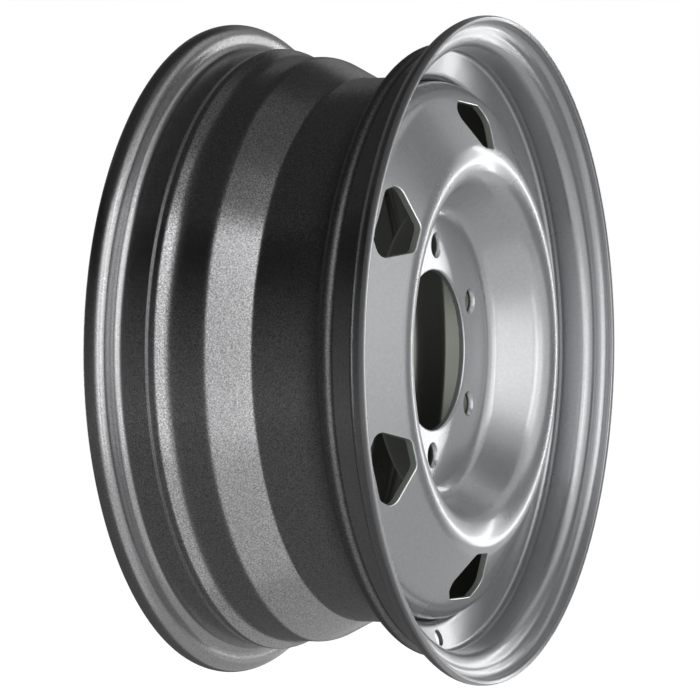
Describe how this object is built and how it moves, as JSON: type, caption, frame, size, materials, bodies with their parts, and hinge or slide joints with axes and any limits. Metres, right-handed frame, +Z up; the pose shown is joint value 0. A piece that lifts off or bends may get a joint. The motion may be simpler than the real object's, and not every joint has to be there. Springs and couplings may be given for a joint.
{
  "type": "steel wheel rim",
  "caption": "Welded steel road wheel: rolled drop-centre rim and pressed dished disc with a hub bore, conical stud holes, shield-shaped hand holes and a valve hole.",
  "frame": {"origin": "centre of the hub bore in the plane of the hub face", "axes": "+Y along the wheel's axis towards the vehicle, -Y outboard, +Z up with the valve hole at the bottom"},
  "size_m": [0.4402, 0.1928, 0.44],
  "materials": {
    "rim_paint": "grey metallic paint, satin gloss, fine grain on the tyre side",
    "disc_paint": "silver metallic paint, gloss",
    "weld_paint": "arc weld seam under the wheel's paint"
  },
  "bodies": {
    "root": {"rim": "rim_paint", "disc": "disc_paint", "disc_weld": "weld_paint"}
  },
  "joints": []
}
